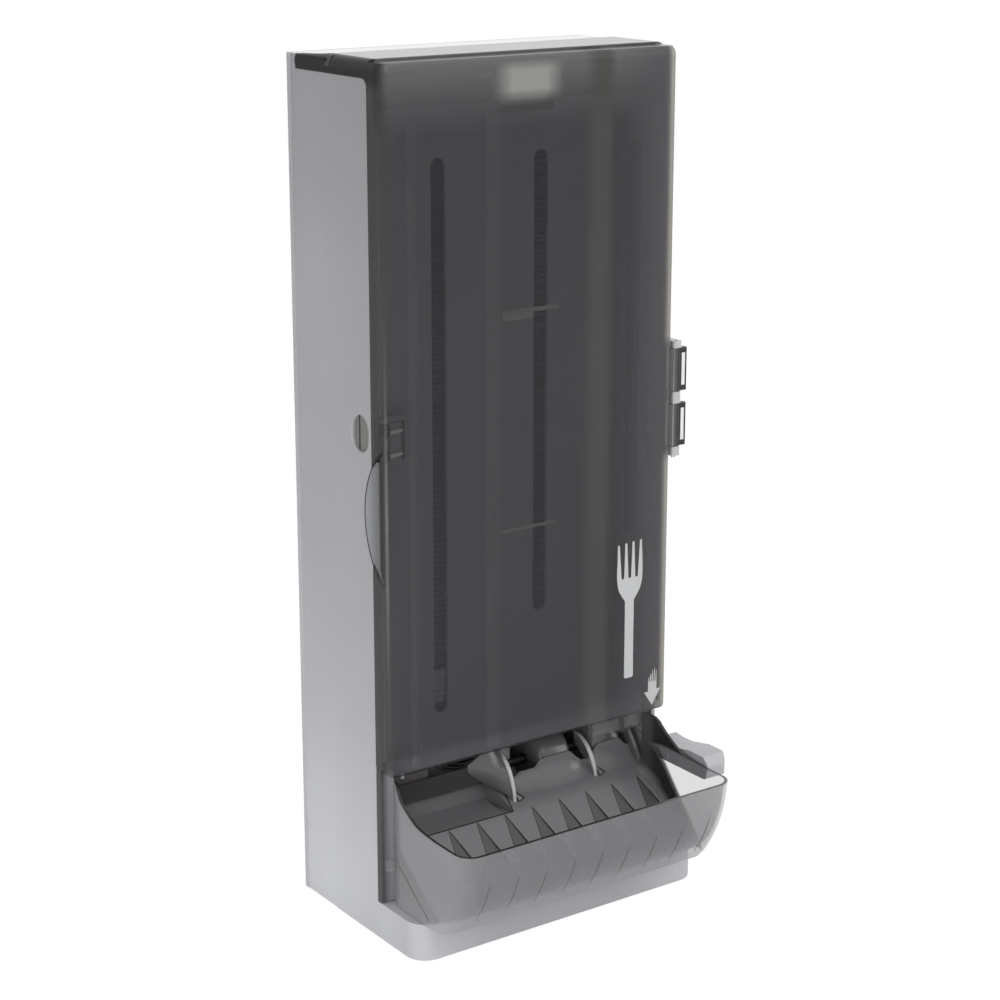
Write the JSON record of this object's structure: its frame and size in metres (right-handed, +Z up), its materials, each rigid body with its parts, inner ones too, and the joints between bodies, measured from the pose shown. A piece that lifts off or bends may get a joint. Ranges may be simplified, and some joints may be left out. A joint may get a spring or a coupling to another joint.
{
  "type": "cutlery dispenser",
  "caption": "Tall lever-operated cutlery dispenser with a smoked hinged cover, inner fork magazine, catch bin and side push lever.",
  "frame": {"origin": "on the floor, under the middle of the plinth", "axes": "+X to the object's left-to-right as seen from the front, +Y to the back, +Z up"},
  "size_m": [0.27, 0.207, 0.6287],
  "materials": {
    "housing_grey": "satin",
    "back_white": "satin",
    "base_dark": "matte",
    "smoke_cover": "satin",
    "light_grey": "satin",
    "steel": "satin",
    "latch_light": "satin",
    "smoke_inner": "satin",
    "chassis_grey": "satin",
    "fork_black": "gloss",
    "clear_part": "gloss",
    "tray_grey": "satin",
    "drum_grey": "satin",
    "bush_white": "satin",
    "lever_grey": "satin",
    "smoke_bin": "gloss",
    "screw_steel": "satin"
  },
  "bodies": {
    "housing": {"housing_shell": "housing_grey", "back_plate": "back_white", "base_plate": "base_dark", "hinge_bracket": "light_grey", "hinge_pin": "steel", "latch_guide": "latch_light", "latch_spring": "steel", "magazine_front": "smoke_inner", "magazine_back": "chassis_grey", "magazine_guide_left": "chassis_grey", "magazine_guide_right": "chassis_grey", "fork_pack_lower": "fork_black", "fork_pack_middle": "fork_black", "fork_pack_upper": "fork_black", "fork_rail_left": "clear_part", "fork_rail_right": "clear_part", "throat_bar": "clear_part", "guide_fin_left": "clear_part", "guide_fin_right": "clear_part", "drop_tray": "tray_grey", "shaft_bush_left": "bush_white", "shaft_bush_right": "bush_white", "lever_return_spring": "steel", "bin": "smoke_bin", "bin_clips": "light_grey", "back_plate_screws": "screw_steel", "chassis_screws": "screw_steel", "bracket_screws": "screw_steel", "base_screws": "screw_steel"},
    "cover": {"cover": "smoke_cover", "latch_striker": "smoke_cover"},
    "lever": {"lever": "lever_grey", "drum_shaft": "steel", "drum_left": "drum_grey", "drum_right": "drum_grey", "shaft_clips": "steel"},
    "latch": {"latch_bar": "latch_light"}
  },
  "joints": [
    {"name": "cover_hinge", "type": "hinge", "parent": "housing", "child": "cover", "pos_m": [0.133, -0.0335, 0.367], "axis": [0, 0, 1], "range_deg": [0, 105]},
    {"name": "lever_press", "type": "hinge", "parent": "housing", "child": "lever", "pos_m": [0.121, 0.0085, 0.091], "axis": [1, 0, 0], "range_deg": [0, 20], "stiffness_Nm_per_rad": 0.6, "springref_deg": -34.38},
    {"name": "latch_slide", "type": "slide", "parent": "housing", "child": "latch", "axis": [1, 0, 0], "range_m": [0, 0.004], "stiffness_N_per_m": 800, "springref_m": -0.004}
  ]
}
